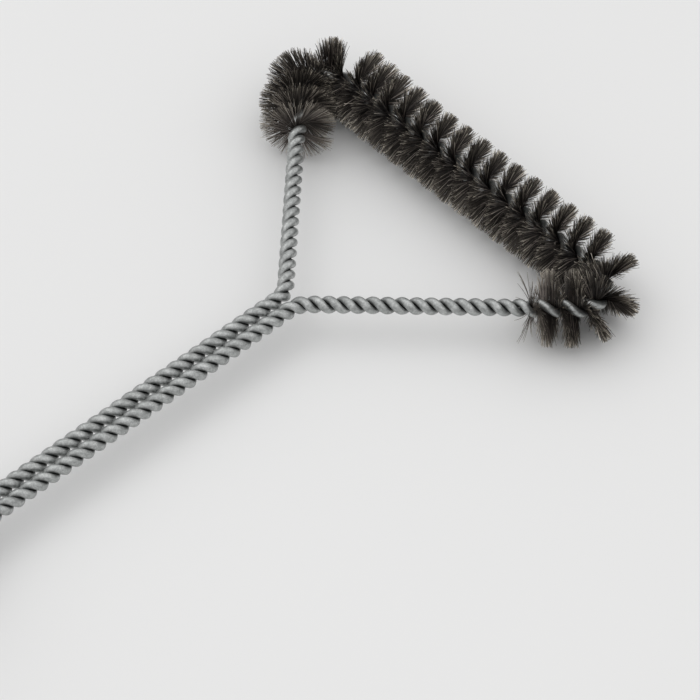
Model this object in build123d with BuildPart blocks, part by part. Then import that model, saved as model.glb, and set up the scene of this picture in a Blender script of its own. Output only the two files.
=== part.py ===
from build123d import *
import os
from math import cos, pi, sin

# Grill cleaning brush: two steel wires run as one long rope that traps the bristles, and the rope is
# bent into a triangle. Its two ends run back side by side as the shaft, into a moulded grip.
# +X points from the grip to the head, +Z is up, and the lowest bristles and the grip stand on Z = 0.
# The wires are plain here, side by side without their twist, and each fan of bristles is a thin disc.

# Driving dimensions (mm)
overall_length = 460
bristle_radius = 17  # from the rope's centreline to the filament tips

head_depth = 108.6  # from the crossing of the arm lines to the front run, centre to centre
head_half_width = 106.2  # from the middle to the crossing of the front and arm lines
corner_bend = 13
neck_bend = 12
shaft_spacing = 7.75  # between the centrelines of the two shaft ropes

wire_diameter = 3.7
strand_offset = 1.88  # from the rope's centreline to each wire's
strand_angle = pi / 4  # the two wires stand across the rope's corner, not above each other

fan_spacing = 10.4
fan_phase = -14.3  # along the rope, from the middle of the front run to one of the fans
fans_left = 11
fans_right = 13
fan_root_radius = 3.9
fan_root_thickness = 0.6
fan_rim_thickness = 1.3
corner_inner_reach = 10.5  # filaments on the inside of a corner, short of its bend centre
inner_reach_growth = 0.42  # how fast that reach grows away from the bend, with half the corner's angle

grip_front = -76
grip_rear = -overall_length / 2
grip_wall = 2.8
pad_x = -134
pad_length = 62
pad_width = 19
pad_proud = 0.5
pad_depth = 1.6
pad_gap = 0.15
pad_grooves = 11
pad_groove_pitch = 4.5
pad_groove_width = 1.2
pad_groove_depth = 0.6
ferrule_front = -68
ferrule_length = 14
ferrule_wall = 2
ferrule_lip_round = 0.8
sleeve_gap = 0.3  # between the ropes and the ferrule or the crimp, all round
socket_gap = 0.2  # between the ferrule or the crimp and the grip
crimp_front = -129
crimp_length = 22
saddle_thickness = 3
saddle_inset = 4.5  # from each end of the crimp to the middle of a saddle
passage_gap = 0.5
passage_overrun = 6
wire_tail = -153
screw_shank_radius = 1.45
screw_head_radius = 2.9
screw_head_height = 2.2
screw_point_chamfer = 1
screw_head_round = 0.8
screw_slot_length = 3.6
screw_slot_width = 0.8
screw_slot_depth = 1.2
screw_boss_wall = 1.6
screw_shank_gap = 0.1
screw_head_gap = 0.3
screw_hole_overrun = 1
hang_hole_x = -213
hang_hole_radius = 5
eyelet_wall = 1.1
eyelet_flange_radius = 8
eyelet_flange = 0.9
eyelet_half_height = 9.2
eyelet_rim_round = 0.4
eyelet_gap = 0.1
eyelet_seat_gap = 0.4
eyelet_boss_wall = 1

# Derived places
core_height = bristle_radius
front_x = overall_length / 2 - bristle_radius
neck_x = front_x - head_depth
shaft_y = shaft_spacing / 2
neck_corner_x = neck_x + shaft_y / (head_half_width / head_depth)
rope_diameter = wire_diameter + 2 * strand_offset
rope_pair_width = shaft_spacing + rope_diameter
sleeve_width = rope_pair_width + 2 * sleeve_gap
sleeve_height = rope_diameter + 2 * sleeve_gap
ferrule_width = sleeve_width + 2 * ferrule_wall
ferrule_height = sleeve_height + 2 * ferrule_wall
ferrule_rear = ferrule_front - ferrule_length
crimp_rear = crimp_front - crimp_length
eyelet_radius = hang_hole_radius + eyelet_wall

# Grip stations: (x, half width, half thickness)
grip_stations = [
    (grip_front, 13, 11),
    (-98, 16, 14.5),
    (-134, 18.5, 16.8),
    (-168, 17, 15),
    (-196, 17, 13.2),
    (-214, 15.5, 11),
    (grip_rear, 10.5, 8),
]
grip_nose = 12  # solid length behind the mouth
grip_end_wall = 3
grip_end_round = 2.5

# Screws: (x, y, height of the shoulder that carries the head, length of the shank)
screws = [(-99, 10.8, 12, 11), (-99, -10.8, 12, 11), (-166, 0, 6, 16), (-192, 0, 7, 16)]

os.makedirs("parts", exist_ok=True)


def finish_piece(builder, name):
    builder.part.label = name
    export_step(builder.part, f"parts/{name}.step")


# The rope's centreline, from the left shaft end round the head to the right shaft end
with BuildLine() as core:
    FilletPolyline(
        (wire_tail, shaft_y, core_height),
        (neck_corner_x, shaft_y, core_height),
        (front_x, head_half_width, core_height),
        (front_x, -head_half_width, core_height),
        (neck_corner_x, -shaft_y, core_height),
        (wire_tail, -shaft_y, core_height),
        radius=[neck_bend, corner_bend, corner_bend, neck_bend],
    )
core_wire = core.wire()
middle = core_wire.length / 2
run_ends = [0]
for edge in core_wire.order_edges():
    run_ends.append(run_ends[-1] + edge.length)


def centre_at(distance):
    return core_wire.position_at(distance, position_mode=PositionMode.LENGTH)


def forward_at(distance):
    return core_wire.tangent_at(distance, position_mode=PositionMode.LENGTH)


def sideways_at(distance):
    """Level, to the left of the way the rope runs, so out of the head's triangle."""
    return Vector(0, 0, 1).cross(forward_at(distance))


def strand_point(distance, side):
    across = sideways_at(distance) * cos(strand_angle) + Vector(0, 0, sin(strand_angle))
    return centre_at(distance) + across * (side * strand_offset)


# Core wires: each of the two wires in seven runs, which meet face to face
run_names = [
    ("shaft_left", 0, 1),
    ("arm_left", 1, 3),
    ("corner_left", 3, 4),
    ("front", 4, 5),
    ("corner_right", 5, 6),
    ("arm_right", 6, 8),
    ("shaft_right", 8, 9),
]
for wire_name, side in (("a", 1), ("b", -1)):
    for run_name, first, last in run_names:
        with BuildPart() as strand:
            with BuildLine():
                for i in range(first, last):
                    start, stop = run_ends[i], run_ends[i + 1]
                    if i % 2 == 0:
                        Line(strand_point(start, side), strand_point(stop, side))
                    else:
                        halfway = strand_point((start + stop) / 2, side)
                        ThreePointArc(strand_point(start, side), halfway, strand_point(stop, side))
            start = run_ends[first]
            with BuildSketch(Plane(origin=strand_point(start, side), z_dir=forward_at(start))):
                Circle(wire_diameter / 2)
            sweep()
        finish_piece(strand, f"wire_{wire_name}_{run_name}")

# Bristle fans, from the left arm round to the right arm, each a disc that thickens towards the tips
for i in range(-fans_left, fans_right + 1):
    distance = middle + fan_phase + i * fan_spacing
    centre, forward, sideways = centre_at(distance), forward_at(distance), sideways_at(distance)
    past_left_bend = max(run_ends[3] - distance, distance - run_ends[4], 0)
    past_right_bend = max(run_ends[5] - distance, distance - run_ends[6], 0)
    past_bend = min(past_left_bend, past_right_bend)
    inner_reach = corner_inner_reach + past_bend * inner_reach_growth
    with BuildPart() as fan:
        with BuildSketch(Plane(origin=centre, x_dir=sideways, z_dir=forward.cross(sideways))):
            with BuildLine():
                Polyline(
                    (fan_root_radius, -fan_root_thickness / 2),
                    (bristle_radius, -fan_rim_thickness / 2),
                    (bristle_radius, fan_rim_thickness / 2),
                    (fan_root_radius, fan_root_thickness / 2),
                    close=True,
                )
            make_face()
        revolve(axis=Axis(centre, forward))
        if inner_reach < bristle_radius:
            inner_limit = Plane(origin=centre - sideways * inner_reach, z_dir=sideways)
            split(bisect_by=inner_limit, keep=Keep.TOP)
    finish_piece(fan, f"bristle_fan_{i + fans_left + 1:02d}")


# Grip
def grip_body(grow, front=grip_front, rear=grip_rear):
    """The grip's outer form, grown or shrunk by an even skin, as a solid."""
    with BuildPart() as body:
        for x, half_width, half_thickness in grip_stations:
            centre = (min(max(x, rear), front), 0, core_height)
            with BuildSketch(Plane(origin=centre, x_dir=(0, 1, 0), z_dir=(1, 0, 0))):
                Ellipse(half_width + grow, half_thickness + grow)
        loft()
        fillet(body.edges().group_by(Axis.X)[0], grip_end_round)
    return body.part


def oval_bar(x, length, width, height):
    """A round-ended bar along +X, centred on the two ropes."""
    with BuildPart() as bar:
        with BuildSketch(Plane(origin=(x, 0, core_height), x_dir=(0, 1, 0), z_dir=(1, 0, 0))):
            SlotOverall(width, height)
        extrude(amount=length)
    return bar.part


grip_solid = grip_body(0)
cavity = grip_body(-grip_wall, grip_front - grip_nose, grip_rear + grip_end_wall)


def pad_blank(length, width, depth):
    """A round-ended block above the grip's upper skin, down to a depth under it."""
    with BuildPart() as blank:
        with BuildSketch(Plane.XY.offset(core_height)):
            with Locations((pad_x, 0)):
                SlotOverall(length, width)
        extrude(amount=2 * core_height)
        add(grip_body(-depth), mode=Mode.SUBTRACT)
    return blank.part


def grip_shell(upper):
    side = 1 if upper else -1
    with BuildPart() as shell:
        add(grip_solid)
        add(cavity, mode=Mode.SUBTRACT)
        # screw bosses, cut to the grip's own form
        with BuildPart(mode=Mode.PRIVATE) as bosses:
            for x, y, shoulder, length in screws:
                with BuildSketch(Plane.XY):
                    with Locations((x, y)):
                        Circle(screw_head_radius + screw_boss_wall)
                extrude(amount=2 * core_height)
            # saddles that hold the crimp, and the boss round the hanging hole
            for x in (crimp_front - saddle_inset, crimp_rear + saddle_inset):
                with Locations((x, 0, core_height)):
                    Box(saddle_thickness, 2 * core_height, 2 * core_height)
            with BuildSketch(Plane.XY):
                with Locations((hang_hole_x, 0)):
                    Circle(eyelet_flange_radius + eyelet_boss_wall)
            extrude(amount=2 * core_height)
            add(grip_solid, mode=Mode.INTERSECT)
        add(bosses.part)
        # passage for the ropes, seats for the crimp and the ferrule
        bore = (rope_pair_width + 2 * passage_gap, rope_diameter + 2 * passage_gap)
        seat = (ferrule_width + 2 * socket_gap, ferrule_height + 2 * socket_gap)
        passage_length = grip_front - crimp_rear + 2 * passage_overrun
        add(oval_bar(crimp_rear - passage_overrun, passage_length, *bore), mode=Mode.SUBTRACT)
        add(oval_bar(crimp_rear - socket_gap, crimp_length + 2 * socket_gap, *seat), mode=Mode.SUBTRACT)
        add(oval_bar(ferrule_rear - socket_gap, ferrule_length, *seat), mode=Mode.SUBTRACT)
        # hanging hole, with a flat seat for the eyelet's flange
        with BuildSketch(Plane.XY.offset(core_height)):
            with Locations((hang_hole_x, 0)):
                Circle(eyelet_radius + eyelet_gap)
        extrude(amount=side * 2 * core_height, mode=Mode.SUBTRACT)
        with BuildSketch(Plane.XY.offset(core_height + side * eyelet_half_height)):
            with Locations((hang_hole_x, 0)):
                Circle(eyelet_flange_radius + eyelet_seat_gap)
        extrude(amount=side * core_height, mode=Mode.SUBTRACT)
        for x, y, shoulder, length in screws:
            with BuildSketch(Plane.XY.offset(shoulder)):
                with Locations((x, y)):
                    Circle(screw_shank_radius + screw_shank_gap)
            extrude(amount=length + screw_hole_overrun, mode=Mode.SUBTRACT)
            with BuildSketch(Plane.XY.offset(shoulder)):
                with Locations((x, y)):
                    Circle(screw_head_radius + screw_head_gap)
            extrude(amount=-shoulder, mode=Mode.SUBTRACT)
        if upper:
            recess = pad_blank(pad_length + 2 * pad_gap, pad_width + 2 * pad_gap, pad_depth + pad_gap)
            add(recess, mode=Mode.SUBTRACT)
        split(bisect_by=Plane.XY.offset(core_height), keep=Keep.TOP if upper else Keep.BOTTOM)
    finish_piece(shell, "grip_upper_shell" if upper else "grip_lower_shell")


grip_shell(True)
grip_shell(False)

# Soft pad in the upper shell, a little proud of it, with shallow grooves across it
with BuildPart() as pad_groove_bars:
    with Locations((pad_x, 0, 2 * core_height)):
        with GridLocations(pad_groove_pitch, 0, pad_grooves, 1):
            Box(pad_groove_width, 2 * pad_width, 2 * core_height)
    add(grip_body(pad_proud - pad_groove_depth), mode=Mode.SUBTRACT)
with BuildPart() as soft_pad:
    add(pad_blank(pad_length, pad_width, pad_depth))
    add(grip_body(pad_proud), mode=Mode.INTERSECT)
    add(pad_groove_bars.part, mode=Mode.SUBTRACT)
finish_piece(soft_pad, "soft_pad")

# Steel ferrule at the grip's mouth, and the crimp that locks the wire ends inside
with BuildPart() as ferrule:
    add(oval_bar(ferrule_rear, ferrule_length, ferrule_width, ferrule_height))
    fillet(ferrule.faces().sort_by(Axis.X)[-1].edges(), ferrule_lip_round)
    add(oval_bar(ferrule_rear, ferrule_length, sleeve_width, sleeve_height), mode=Mode.SUBTRACT)
finish_piece(ferrule, "ferrule")

with BuildPart() as crimp:
    add(oval_bar(crimp_rear, crimp_length, ferrule_width, ferrule_height))
    add(oval_bar(crimp_rear, crimp_length, sleeve_width, sleeve_height), mode=Mode.SUBTRACT)
finish_piece(crimp, "wire_crimp")

# Self-tapping screws, driven from below
for i, (x, y, shoulder, length) in enumerate(screws):
    with BuildPart() as screw:
        with BuildSketch(Plane.XY.offset(shoulder)):
            with Locations((x, y)):
                Circle(screw_shank_radius)
        extrude(amount=length)
        chamfer(screw.faces().sort_by(Axis.Z)[-1].edges(), screw_point_chamfer)
        with BuildSketch(Plane.XY.offset(shoulder)):
            with Locations((x, y)):
                Circle(screw_head_radius)
        extrude(amount=-screw_head_height)
        fillet(screw.faces().sort_by(Axis.Z)[0].edges(), screw_head_round)
        with BuildSketch(Plane.XY.offset(shoulder - screw_head_height)):
            with Locations((x, y)):
                Rectangle(screw_slot_length, screw_slot_width)
                Rectangle(screw_slot_width, screw_slot_length)
        extrude(amount=screw_slot_depth, mode=Mode.SUBTRACT)
    finish_piece(screw, f"grip_screw_{i + 1}")

# Rolled eyelet that lines the hanging hole
with BuildPart() as eyelet:
    with BuildSketch(Plane.XZ):
        with BuildLine():
            half = eyelet_half_height
            Polyline(
                (hang_hole_x + hang_hole_radius, core_height - half - eyelet_flange),
                (hang_hole_x + eyelet_flange_radius, core_height - half - eyelet_flange),
                (hang_hole_x + eyelet_flange_radius, core_height - half),
                (hang_hole_x + eyelet_radius, core_height - half),
                (hang_hole_x + eyelet_radius, core_height + half),
                (hang_hole_x + eyelet_flange_radius, core_height + half),
                (hang_hole_x + eyelet_flange_radius, core_height + half + eyelet_flange),
                (hang_hole_x + hang_hole_radius, core_height + half + eyelet_flange),
                close=True,
            )
        make_face()
    revolve(axis=Axis((hang_hole_x, 0, 0), (0, 0, 1)))
    outer_rims = eyelet.edges().filter_by(GeomType.CIRCLE).group_by(SortBy.RADIUS)[-1]
    fillet(outer_rims, eyelet_rim_round)
finish_piece(eyelet, "hang_eyelet")
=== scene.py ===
import bpy
import math
import random
from mathutils import Matrix, Vector


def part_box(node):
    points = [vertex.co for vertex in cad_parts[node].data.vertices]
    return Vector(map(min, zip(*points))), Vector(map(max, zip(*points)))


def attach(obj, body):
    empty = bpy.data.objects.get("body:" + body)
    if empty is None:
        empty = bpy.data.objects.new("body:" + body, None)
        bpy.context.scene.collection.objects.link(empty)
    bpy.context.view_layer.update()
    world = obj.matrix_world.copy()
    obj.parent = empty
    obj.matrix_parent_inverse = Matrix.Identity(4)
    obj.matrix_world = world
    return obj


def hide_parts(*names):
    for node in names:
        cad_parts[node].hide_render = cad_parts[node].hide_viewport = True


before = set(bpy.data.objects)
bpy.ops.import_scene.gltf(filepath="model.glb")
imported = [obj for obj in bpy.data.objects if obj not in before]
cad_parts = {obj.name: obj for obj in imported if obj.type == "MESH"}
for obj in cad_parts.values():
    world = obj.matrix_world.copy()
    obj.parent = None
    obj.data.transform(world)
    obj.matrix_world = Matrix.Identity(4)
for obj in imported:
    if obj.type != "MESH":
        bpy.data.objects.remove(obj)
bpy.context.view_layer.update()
rng = random.Random(11)
MM = 0.001
UP = Vector((0, 0, 1))


# ---------------------------------------------------------------- sizes, from the frame where it has them
def middle_of(node):
    low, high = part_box(node)
    return (Vector(low) + Vector(high)) / 2


def span_of(node):
    low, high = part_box(node)
    return Vector(high) - Vector(low)


FAN_NODES = sorted(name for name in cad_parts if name.startswith("bristle_fan"))
CORE_HEIGHT = middle_of("bristle_fan_10").z
FRONT_X = middle_of("bristle_fan_10").x
TAIL_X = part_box("wire_a_shaft_left")[0][0]
BRISTLE_RADIUS = span_of("bristle_fan_10").z / 2
SHAFT_SPACING = 7.65 * MM
HEAD_DEPTH = 108.6 * MM
HEAD_HALF_WIDTH = 106.2 * MM
CORNER_BEND = 13 * MM
NECK_BEND = 12 * MM
WIRE_RADIUS = 1.87 * MM
BARE_OFFSET = 1.87 * MM
OPEN_OFFSET = 2.15 * MM
OFFSET_BLEND = 8 * MM
BARE_PITCH = 12.2 * MM
BRISTLED_PITCH = 20.8 * MM
TWIST_PHASE = math.radians(7.8)
CORNER_LAG = 3 * MM  # how far the turns are drawn along the rope at a corner
LAG_REACH = 22 * MM
BRISTLED_LEFT = 127.5 * MM
BRISTLED_RIGHT = 124 * MM
OPEN_EACH_WAY = 124 * MM  # how far the long, open twist runs from the middle
NECK = Vector((FRONT_X - HEAD_DEPTH, 0, CORE_HEIGHT))


# ---------------------------------------------------------------- camera, at the neck's place in the view
AZIMUTH = math.radians(-43.12)
ELEVATION = math.radians(48.95)
FOCAL_PER_WIDTH = 5.494
NECK_IN_VIEW = (-27.39 * MM, 19.24 * MM, 1605.8 * MM)  # right, up, ahead

ahead = Vector((-math.sin(AZIMUTH) * math.cos(ELEVATION), math.cos(AZIMUTH) * math.cos(ELEVATION),
                -math.sin(ELEVATION)))
right = ahead.cross(UP).normalized()
above = right.cross(ahead)
sensor = 36
camera_data = bpy.data.cameras.new("camera")
camera_data.sensor_width = sensor
camera_data.lens = FOCAL_PER_WIDTH * sensor
camera = bpy.data.objects.new("camera", camera_data)
camera_place = NECK - right * NECK_IN_VIEW[0] - above * NECK_IN_VIEW[1] - ahead * NECK_IN_VIEW[2]
turn = Matrix((right, above, -ahead)).transposed().to_4x4()
camera.matrix_world = Matrix.Translation(camera_place) @ turn
bpy.context.collection.objects.link(camera)
bpy.context.scene.camera = camera


# ---------------------------------------------------------------- the rope's centreline
class Route:
    """Straight runs joined by tangent arcs, all level, measured by distance."""

    def __init__(self, corners, bends):
        self.runs = []
        at = corners[0]
        for i, bend in enumerate(bends):
            before = (corners[i + 1] - corners[i]).normalized()
            after = (corners[i + 2] - corners[i + 1]).normalized()
            swing = math.atan2(before.cross(after).z, before.dot(after))
            cut = bend * math.tan(abs(swing) / 2)
            start = corners[i + 1] - before * cut
            self.runs.append((at, before, (start - at).length, 0, 0))
            self.runs.append((start, before, bend * abs(swing), bend, swing))
            at = corners[i + 1] + after * cut
        last = (corners[-1] - corners[-2]).normalized()
        self.runs.append((at, last, (corners[-1] - at).length, 0, 0))
        self.ends = [0]
        for run in self.runs:
            self.ends.append(self.ends[-1] + run[2])
        self.length = self.ends[-1]

    def at(self, distance):
        """Centre, forward direction and the level direction to its left."""
        i = 0
        while i < len(self.runs) - 1 and distance > self.ends[i + 1]:
            i += 1
        start, forward, length, bend, swing = self.runs[i]
        travelled = distance - self.ends[i]
        if not bend:
            return start + forward * travelled, forward, UP.cross(forward)
        side = math.copysign(1, swing)
        left = UP.cross(forward)
        angle = travelled / bend
        here = start + forward * (bend * math.sin(angle)) + left * (side * bend * (1 - math.cos(angle)))
        turned = Matrix.Rotation(side * angle, 3, UP) @ forward
        return here, turned, UP.cross(turned)


half_spacing = SHAFT_SPACING / 2
neck_corner_x = NECK.x + half_spacing * HEAD_DEPTH / HEAD_HALF_WIDTH
route = Route(
    [
        Vector((TAIL_X, half_spacing, CORE_HEIGHT)),
        Vector((neck_corner_x, half_spacing, CORE_HEIGHT)),
        Vector((FRONT_X, HEAD_HALF_WIDTH, CORE_HEIGHT)),
        Vector((FRONT_X, -HEAD_HALF_WIDTH, CORE_HEIGHT)),
        Vector((neck_corner_x, -half_spacing, CORE_HEIGHT)),
        Vector((TAIL_X, -half_spacing, CORE_HEIGHT)),
    ],
    [NECK_BEND, CORNER_BEND, CORNER_BEND, NECK_BEND],
)
MIDDLE = route.length / 2
BRISTLES_START = MIDDLE - BRISTLED_LEFT
BRISTLES_STOP = MIDDLE + BRISTLED_RIGHT
OPEN_START = MIDDLE - OPEN_EACH_WAY
OPEN_STOP = MIDDLE + OPEN_EACH_WAY


LAG_CENTRES = (route.ends[4], (route.ends[5] + route.ends[6]) / 2)


def smooth(value):
    value = min(max(value, 0), 1)
    return value * value * (3 - 2 * value)


def twist_at(distance):
    nearest = min(abs(distance - centre) for centre in LAG_CENTRES)
    lag = CORNER_LAG * smooth(1 - nearest / LAG_REACH)
    inside = min(max(distance, OPEN_START), OPEN_STOP)
    turns = (inside - MIDDLE - lag) / BRISTLED_PITCH + (distance - inside) / BARE_PITCH
    return 2 * math.pi * turns + TWIST_PHASE


def offset_at(distance):
    outside = max(OPEN_START - distance, distance - OPEN_STOP, 0)
    return OPEN_OFFSET + (BARE_OFFSET - OPEN_OFFSET) * smooth(outside / OFFSET_BLEND)


def around(distance, angle, radius):
    centre, forward, left = route.at(distance)
    return centre + left * (radius * math.cos(angle)) + UP * (radius * math.sin(angle))


# ---------------------------------------------------------------- materials
def new_material(name):
    material = bpy.data.materials.new(name)
    material.use_nodes = True
    nodes = material.node_tree.nodes
    return material, nodes, material.node_tree.links, nodes["Principled BSDF"]


def noise(nodes, links, scale, detail=3, stretch=None):
    texture = nodes.new("ShaderNodeTexNoise")
    texture.inputs["Scale"].default_value = scale
    texture.inputs["Detail"].default_value = detail
    place = nodes.new("ShaderNodeTexCoord")
    if stretch:
        mapping = nodes.new("ShaderNodeMapping")
        mapping.inputs["Scale"].default_value = stretch
        links.new(place.outputs["Object"], mapping.inputs["Vector"])
        links.new(mapping.outputs["Vector"], texture.inputs["Vector"])
    else:
        links.new(place.outputs["Object"], texture.inputs["Vector"])
    return texture.outputs["Fac"]


def ramp(nodes, links, source, stops):
    node = nodes.new("ShaderNodeValToRGB")
    while len(node.color_ramp.elements) < len(stops):
        node.color_ramp.elements.new(0.5)
    for element, (position, color) in zip(node.color_ramp.elements, stops):
        element.position = position
        element.color = (*color, 1)
    links.new(source, node.inputs["Fac"])
    return node.outputs["Color"]


def spread(nodes, links, source, low, high):
    node = nodes.new("ShaderNodeMapRange")
    node.inputs["To Min"].default_value = low
    node.inputs["To Max"].default_value = high
    links.new(source, node.inputs["Value"])
    return node.outputs["Result"]


def bump(nodes, links, shader, height, strength, distance):
    node = nodes.new("ShaderNodeBump")
    node.inputs["Strength"].default_value = strength
    node.inputs["Distance"].default_value = distance
    links.new(height, node.inputs["Height"])
    links.new(node.outputs["Normal"], shader.inputs["Normal"])


def multiplied(nodes, links, first, second):
    node = nodes.new("ShaderNodeMix")
    node.data_type = "RGBA"
    node.blend_type = "MULTIPLY"
    node.inputs["Factor"].default_value = 1
    links.new(first, node.inputs["A"])
    links.new(second, node.inputs["B"])
    return node.outputs["Result"]


def attribute(nodes, name):
    node = nodes.new("ShaderNodeAttribute")
    node.attribute_name = name
    return node.outputs["Fac"]


def galvanised_wire():
    material, nodes, links, shader = new_material("galvanised_wire")
    shader.inputs["Metallic"].default_value = 0.85
    patches = noise(nodes, links, 420, 4)
    zinc = ramp(nodes, links, patches, [(0.3, (0.31, 0.32, 0.315)), (0.52, (0.42, 0.432, 0.426)),
                                        (0.72, (0.53, 0.54, 0.533))])
    specks = noise(nodes, links, 1500, 3)
    speckled = multiplied(nodes, links, zinc, ramp(nodes, links, specks, [(0.38, (0.84,) * 3), (0.6, (1.1,) * 3)]))
    # painted shade: the wire's colour darkens down to a tenth on the side facing the other wire, where light cannot
    # reach
    painted_crevice_shade = ramp(nodes, links, attribute(nodes, "painted_crevice_shade"), [(0.3, (1.0,) * 3), (0.6, (0.5,) * 3),
                                                               (0.85, (0.1,) * 3)])
    links.new(multiplied(nodes, links, speckled, painted_crevice_shade), shader.inputs["Base Color"])
    grain = noise(nodes, links, 2600, 2)
    links.new(spread(nodes, links, grain, 0.32, 0.5), shader.inputs["Roughness"])
    bump(nodes, links, shader, grain, 0.3, 0.00006)
    return material


def bristle_steel():
    material, nodes, links, shader = new_material("bristle_steel")
    shader.inputs["Metallic"].default_value = 0.55
    shader.inputs["Roughness"].default_value = 0.42
    body = ramp(nodes, links, attribute(nodes, "along"), [(0.0, (0.018, 0.016, 0.015)), (0.55, (0.045, 0.04, 0.037)),
                                                          (0.86, (0.08, 0.074, 0.066)), (1.0, (0.13, 0.122, 0.108))])
    # each filament's tone differs at random; the top of this range is painted glints, filaments lit up in their
    # colour
    tint_and_glint = ramp(nodes, links, attribute(nodes, "tone_and_glint"), [(0.0, (0.4, 0.37, 0.35)), (0.5, (1.0, 0.96, 0.93)),
                                                         (0.8, (2.4, 2.3, 2.2)), (1.0, (9.5, 9.3, 9.0))])
    links.new(multiplied(nodes, links, body, tint_and_glint), shader.inputs["Base Color"])
    return material


def moulded_plastic(name, color, roughness, grain_scale, grain_depth):
    material, nodes, links, shader = new_material(name)
    cloud = noise(nodes, links, 60, 3)
    low = tuple(channel * 0.8 for channel in color)
    high = tuple(channel * 1.25 for channel in color)
    links.new(ramp(nodes, links, cloud, [(0.35, low), (0.65, high)]), shader.inputs["Base Color"])
    grain = noise(nodes, links, grain_scale, 2)
    links.new(spread(nodes, links, grain, roughness - 0.08, roughness + 0.1), shader.inputs["Roughness"])
    bump(nodes, links, shader, grain, 0.35, grain_depth)
    return material


def brushed_fitting(name, color, stretch):
    material, nodes, links, shader = new_material(name)
    shader.inputs["Metallic"].default_value = 1
    lines = noise(nodes, links, 900, 3, stretch)
    low = tuple(channel * 0.75 for channel in color)
    links.new(ramp(nodes, links, lines, [(0.3, low), (0.7, color)]), shader.inputs["Base Color"])
    links.new(spread(nodes, links, lines, 0.22, 0.42), shader.inputs["Roughness"])
    bump(nodes, links, shader, lines, 0.2, 0.00003)
    return material


WIRE = galvanised_wire()
BRISTLE = bristle_steel()
PLASTIC = moulded_plastic("grip_plastic", (0.022, 0.022, 0.024), 0.46, 1700, 0.00012)
RUBBER = moulded_plastic("pad_rubber", (0.045, 0.045, 0.047), 0.7, 2600, 0.00008)
STEEL = brushed_fitting("fitting_steel", (0.62, 0.62, 0.61), (1, 0.06, 0.06))
SCREW = brushed_fitting("screw_steel", (0.35, 0.35, 0.36), (0.3, 0.3, 1))


def dress(node, material):
    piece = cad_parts[node]
    piece.data.materials.clear()
    piece.data.materials.append(material)


def new_piece(name, vertices, faces, material, values, rounded=True):
    """A mesh piece, with its named values at each vertex."""
    mesh = bpy.data.meshes.new(name)
    mesh.from_pydata(vertices, [], faces)
    mesh.materials.append(material)
    mesh.polygons.foreach_set("use_smooth", [rounded] * len(mesh.polygons))
    for value_name, numbers in values.items():
        mesh.attributes.new(value_name, "FLOAT", "POINT").data.foreach_set("value", numbers)
    mesh.update()
    piece = bpy.data.objects.new(name, mesh)
    bpy.context.collection.objects.link(piece)
    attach(piece, "root")
    return piece


# ---------------------------------------------------------------- twisted core wires
RINGS_PER_TURN = 22
WIRE_SIDES = 18


def twisted_wire(letter, phase):
    """One wire from end to end, wound about the rope's centreline."""
    distances = []
    distance = 0
    while distance < route.length:
        distances.append(distance)
        is_open = OPEN_START < distance < OPEN_STOP
        distance += (BRISTLED_PITCH if is_open else BARE_PITCH) / RINGS_PER_TURN
    distances.append(route.length)
    line = [around(d, twist_at(d) + phase, offset_at(d)) for d in distances]
    vertices, faces, painted_crevice_shade = [], [], []
    for i, point in enumerate(line):
        direction = (line[min(i + 1, len(line) - 1)] - line[max(i - 1, 0)]).normalized()
        outward = (point - route.at(distances[i])[0]).normalized()
        outward = (outward - direction * outward.dot(direction)).normalized()
        side = direction.cross(outward)
        for k in range(WIRE_SIDES):
            angle = 2 * math.pi * k / WIRE_SIDES
            vertices.append(point + (outward * math.cos(angle) + side * math.sin(angle)) * WIRE_RADIUS)
            # painted shade amount: 0 on the outer side of the wire, 1 on the side facing the rope's centre
            painted_crevice_shade.append((1 - math.cos(angle)) / 2)
    for i in range(len(line) - 1):
        for k in range(WIRE_SIDES):
            near, far = i * WIRE_SIDES, (i + 1) * WIRE_SIDES
            step = (k + 1) % WIRE_SIDES
            faces.append((near + k, near + step, far + step, far + k))
    faces.append(tuple(reversed(range(WIRE_SIDES))))
    faces.append(tuple(range(len(vertices) - WIRE_SIDES, len(vertices))))
    piece = new_piece(f"core_wire_{letter}", vertices, faces, WIRE, {"painted_crevice_shade": painted_crevice_shade})
    runs = ("shaft_left", "arm_left", "corner_left", "front", "corner_right", "arm_right", "shaft_right")
    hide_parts(*[f"wire_{letter}_{run}" for run in runs])


twisted_wire("a", 0)
twisted_wire("b", math.pi)


# ---------------------------------------------------------------- bristles
FILAMENTS_PER_SIDE = 430  # of one fan, on each side of the rope
FILAMENT_RADIUS = 0.14 * MM
ALONG_SPREAD = 1.25 * MM  # how far the tips stray along the rope
ANGLE_SPREAD = math.radians(7)
ROOT_RADIUS = 0.6 * MM
SEGMENTS = 4
END_DENSITY = 0.45  # of the filaments left at each end of the bristles
END_THINNING = 22 * MM  # length over which they thin out
END_TONE = 0.86  # paler and more even there, where more light gets in
END_EVENNESS = 0.75
STRAYS = 16
STRAY_LEAN = (1.5 * MM, 6.5 * MM)
LONG_REACH = 0.2  # extra length, outwards, of the filaments by the left corner
LONG_STRETCH = 55 * MM


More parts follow.
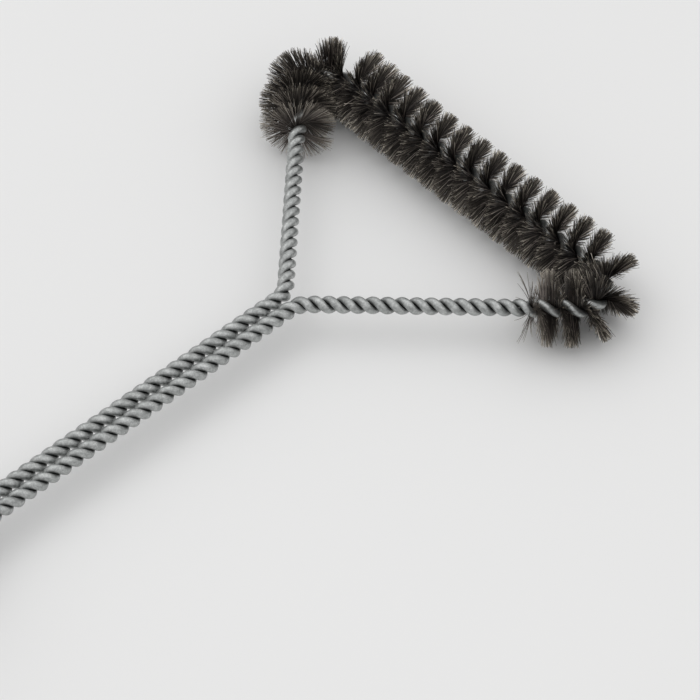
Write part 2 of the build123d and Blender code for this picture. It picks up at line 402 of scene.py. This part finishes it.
def filament(vertices, faces, along, tone_and_glint, root_distance, angle, reach, lean, sag, shade):
    """A thin bent prism from between the wires to its tip."""
    centre, forward, left = route.at(root_distance)
    outward = left * math.cos(angle) + UP * math.sin(angle)
    around_way = forward.cross(outward)
    first = len(vertices)
    line = []
    for j in range(SEGMENTS + 1):
        t = j / SEGMENTS
        radius = ROOT_RADIUS + (reach - ROOT_RADIUS) * t
        line.append(centre + outward * radius + forward * (lean * t ** 1.6) + around_way * (sag * t * t))
    for j, point in enumerate(line):
        thickness = FILAMENT_RADIUS * (1 if j < SEGMENTS else 0.6)
        for k in range(3):
            turn_angle = 2 * math.pi * k / 3
            vertices.append(point + (forward * math.cos(turn_angle) + around_way * math.sin(turn_angle)) * thickness)
            along.append(j / SEGMENTS)
            tone_and_glint.append(shade)
    for j in range(SEGMENTS):
        for k in range(3):
            a, b = first + j * 3 + k, first + j * 3 + (k + 1) % 3
            faces.append((a, b, b + 3, a + 3))
    tip = first + SEGMENTS * 3
    faces.append((tip, tip + 1, tip + 2))


def fan(index, node):
    """One half turn of filaments, on both sides of the rope."""
    length = (BRISTLES_STOP - BRISTLES_START) / len(FAN_NODES)
    start = BRISTLES_START + index * length
    vertices, faces, along, tone_and_glint = [], [], [], []
    for side in (0, math.pi):
        for i in range(FILAMENTS_PER_SIDE):
            root = start + length * rng.random()
            inside = smooth(min(root - BRISTLES_START, BRISTLES_STOP - root) / END_THINNING)
            if rng.random() > END_DENSITY + (1 - END_DENSITY) * inside:
                continue
            # random tone of the filament; its highest values are shown as painted glints
            shade = rng.random()
            shade += (END_TONE - shade) * END_EVENNESS * (1 - inside)
            angle = twist_at(root) + math.pi / 2 + side + rng.gauss(0, ANGLE_SPREAD)
            reach = BRISTLE_RADIUS * (0.985 - abs(rng.gauss(0, 0.045)))
            corner_share = smooth(1 - abs(root - route.ends[4]) / LONG_STRETCH)
            reach *= 1 + LONG_REACH * corner_share * max(math.cos(angle), 0) ** 2
            lean = rng.gauss(0, ALONG_SPREAD)
            sag = rng.gauss(0, 0.9 * MM)
            if rng.random() < 0.02:
                lean *= 2.2
                sag *= 3
            reach = math.sqrt(max(reach * reach - sag * sag, 0))
            filament(vertices, faces, along, tone_and_glint, root, angle, reach, lean, sag, shade)
    if index == len(FAN_NODES) - 1:
        for i in range(STRAYS):
            lean = rng.uniform(*STRAY_LEAN)
            sag = rng.gauss(0, 2 * MM)
            angle = rng.uniform(0, 2 * math.pi)
            filament(vertices, faces, along, tone_and_glint, BRISTLES_STOP, angle, 0.93 * BRISTLE_RADIUS, lean, sag, 0.7)
    values = {"along": along, "tone_and_glint": tone_and_glint}
    piece = new_piece(f"filaments_{index + 1:02d}", vertices, faces, BRISTLE, values, rounded=False)
    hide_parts(node)


for index, node in enumerate(FAN_NODES):
    fan(index, node)


# ---------------------------------------------------------------- grip and fittings
for node in ("grip_upper_shell", "grip_lower_shell"):
    dress(node, PLASTIC)
dress("soft_pad", RUBBER)
for node in ("ferrule", "wire_crimp", "hang_eyelet"):
    dress(node, STEEL)
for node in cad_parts:
    if node.startswith("grip_screw"):
        dress(node, SCREW)


# ---------------------------------------------------------------- floor and light
def pale_floor():
    material, nodes, links, shader = new_material("floor")
    cloud = noise(nodes, links, 3, 2)
    links.new(ramp(nodes, links, cloud, [(0.3, (0.81, 0.81, 0.807)), (0.7, (0.825, 0.825, 0.822))]),
              shader.inputs["Base Color"])
    shader.inputs["Roughness"].default_value = 0.9
    return material


FLOOR_HALF = 4
floor_mesh = bpy.data.meshes.new("floor")
floor_corners = [(-FLOOR_HALF, -FLOOR_HALF, 0), (FLOOR_HALF, -FLOOR_HALF, 0), (FLOOR_HALF, FLOOR_HALF, 0),
                 (-FLOOR_HALF, FLOOR_HALF, 0)]
floor_mesh.from_pydata(floor_corners, [], [(0, 1, 2, 3)])
floor_mesh.materials.append(pale_floor())
floor = bpy.data.objects.new("floor", floor_mesh)
bpy.context.collection.objects.link(floor)


def soft_light(name, place, size, power):
    data = bpy.data.lights.new(name, "AREA")
    data.shape = "DISK"
    data.size = size
    data.energy = power
    light = bpy.data.objects.new(name, data)
    light.location = place
    light.rotation_euler = (NECK - Vector(place)).to_track_quat("-Z", "Y").to_euler()
    bpy.context.collection.objects.link(light)


level_up = Vector((above.x, above.y, 0)).normalized()
soft_light("key", NECK - right * 0.9 + level_up * 0.5 + UP * 1.7, 1.5, 3)
soft_light("fill", NECK + right * 1.4 - level_up * 0.6 + UP * 1.8, 1.6, 1.5)



def softbox_world():
    """A studio that is brightest overhead and darker towards the horizon."""
    world = bpy.data.worlds.new("world")
    world.use_nodes = True
    nodes, links = world.node_tree.nodes, world.node_tree.links
    place = nodes.new("ShaderNodeTexCoord")
    split = nodes.new("ShaderNodeSeparateXYZ")
    links.new(place.outputs["Generated"], split.inputs["Vector"])
    sky = ramp(nodes, links, split.outputs["Z"], [(0.0, (0.44, 0.44, 0.443)), (1.0, (1.13, 1.13, 1.13))])
    links.new(sky, nodes["Background"].inputs["Color"])
    return world


bpy.context.scene.world = softbox_world()
bpy.context.scene.view_settings.view_transform = "Standard"
